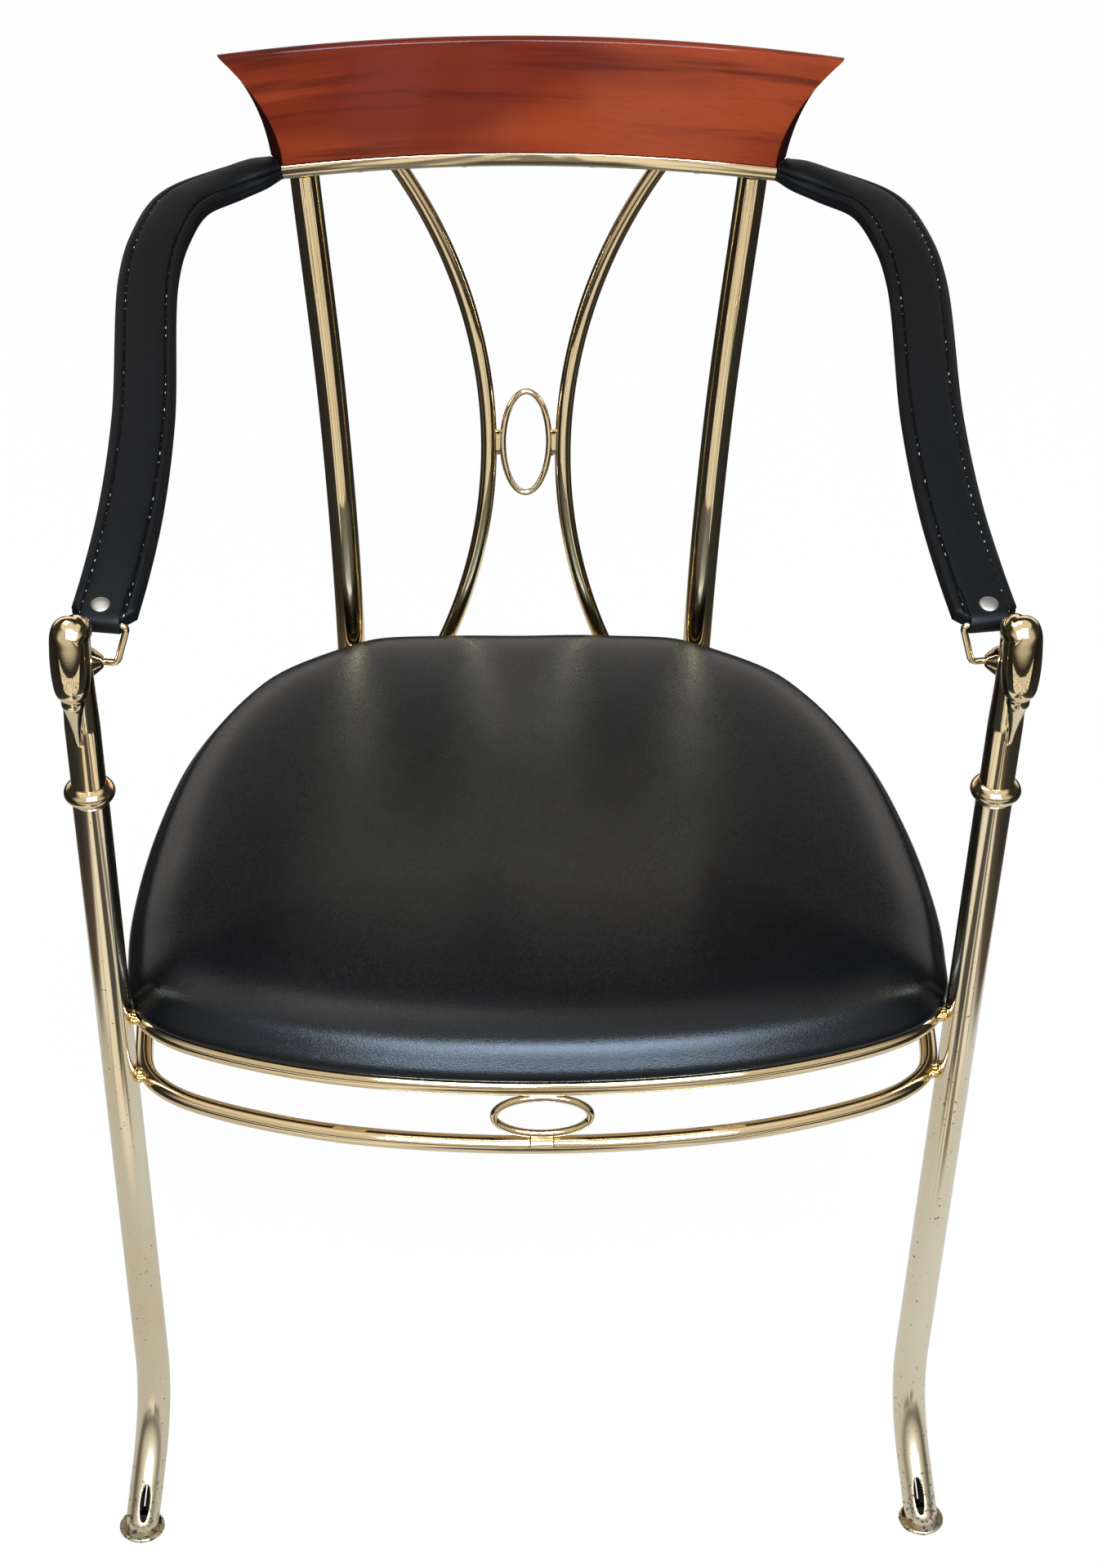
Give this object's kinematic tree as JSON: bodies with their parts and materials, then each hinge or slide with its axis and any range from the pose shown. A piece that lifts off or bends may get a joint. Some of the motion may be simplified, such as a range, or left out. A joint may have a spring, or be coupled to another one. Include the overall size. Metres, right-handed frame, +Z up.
{
  "type": "klismos armchair",
  "caption": "Armchair on a bent brass tube frame with a curved mahogany back rail, leather seat cushion and slim leather arms hung on gooseneck finials.",
  "frame": {"origin": "middle of the footprint, on the floor", "axes": "-Y is the front, +X is to the right seen from the front, +Z is up"},
  "size_m": [0.5834, 0.5996, 0.8543],
  "materials": {
    "brass": "polished",
    "mahogany": "high gloss lacquer",
    "seat_leather": "semi-gloss",
    "arm_leather": "semi-matt, stitched",
    "nickel": "satin nickel plate",
    "steel": "plain",
    "plywood": "raw"
  },
  "bodies": {
    "chair": {"right_front_leg": "brass", "left_front_leg": "brass", "right_rear_leg": "brass", "left_rear_leg": "brass", "right_front_foot": "brass", "left_front_foot": "brass", "right_rear_foot": "brass", "left_rear_foot": "brass", "right_collar": "brass", "left_collar": "brass", "right_finial": "brass", "left_finial": "brass", "upper_seat_ring": "brass", "lower_seat_ring": "brass", "front_oval_ring": "brass", "front_upper_link": "brass", "front_lower_link": "brass", "right_bowed_rod": "brass", "left_bowed_rod": "brass", "back_oval_ring": "brass", "right_back_link": "brass", "left_back_link": "brass", "back_strip": "brass", "right_front_bracket": "brass", "right_back_bracket": "brass", "left_back_bracket": "brass", "left_front_bracket": "brass", "top_rail": "mahogany", "seat_cushion": "seat_leather", "right_arm_sleeve": "arm_leather", "left_arm_sleeve": "arm_leather", "right_arm_panel": "arm_leather", "left_arm_panel": "arm_leather", "right_arm_tab": "arm_leather", "left_arm_tab": "arm_leather", "right_arm_rivet": "nickel", "left_arm_rivet": "nickel", "right_inner_rail_screw": "steel", "left_inner_rail_screw": "steel", "right_outer_rail_screw": "steel", "left_outer_rail_screw": "steel", "right_arm_screw": "steel", "left_arm_screw": "steel", "right_arm_core": "steel", "left_arm_core": "steel", "right_front_seat_screw": "steel", "right_back_seat_screw": "steel", "left_back_seat_screw": "steel", "left_front_seat_screw": "steel", "seat_board": "plywood"},
    "right_link": {"right_link_ring": "brass"},
    "left_link": {"left_link_ring": "brass"}
  },
  "joints": [
    {"name": "right_link_swing", "type": "hinge", "parent": "chair", "child": "right_link", "pos_m": [0.26409, -0.20539, 0.68635], "axis": [-0.9883, -0.1523, 0], "range_deg": [-3, 3]},
    {"name": "left_link_swing", "type": "hinge", "parent": "chair", "child": "left_link", "pos_m": [-0.26409, -0.20539, 0.68635], "axis": [0.9883, -0.1523, 0], "range_deg": [-3, 3]}
  ]
}
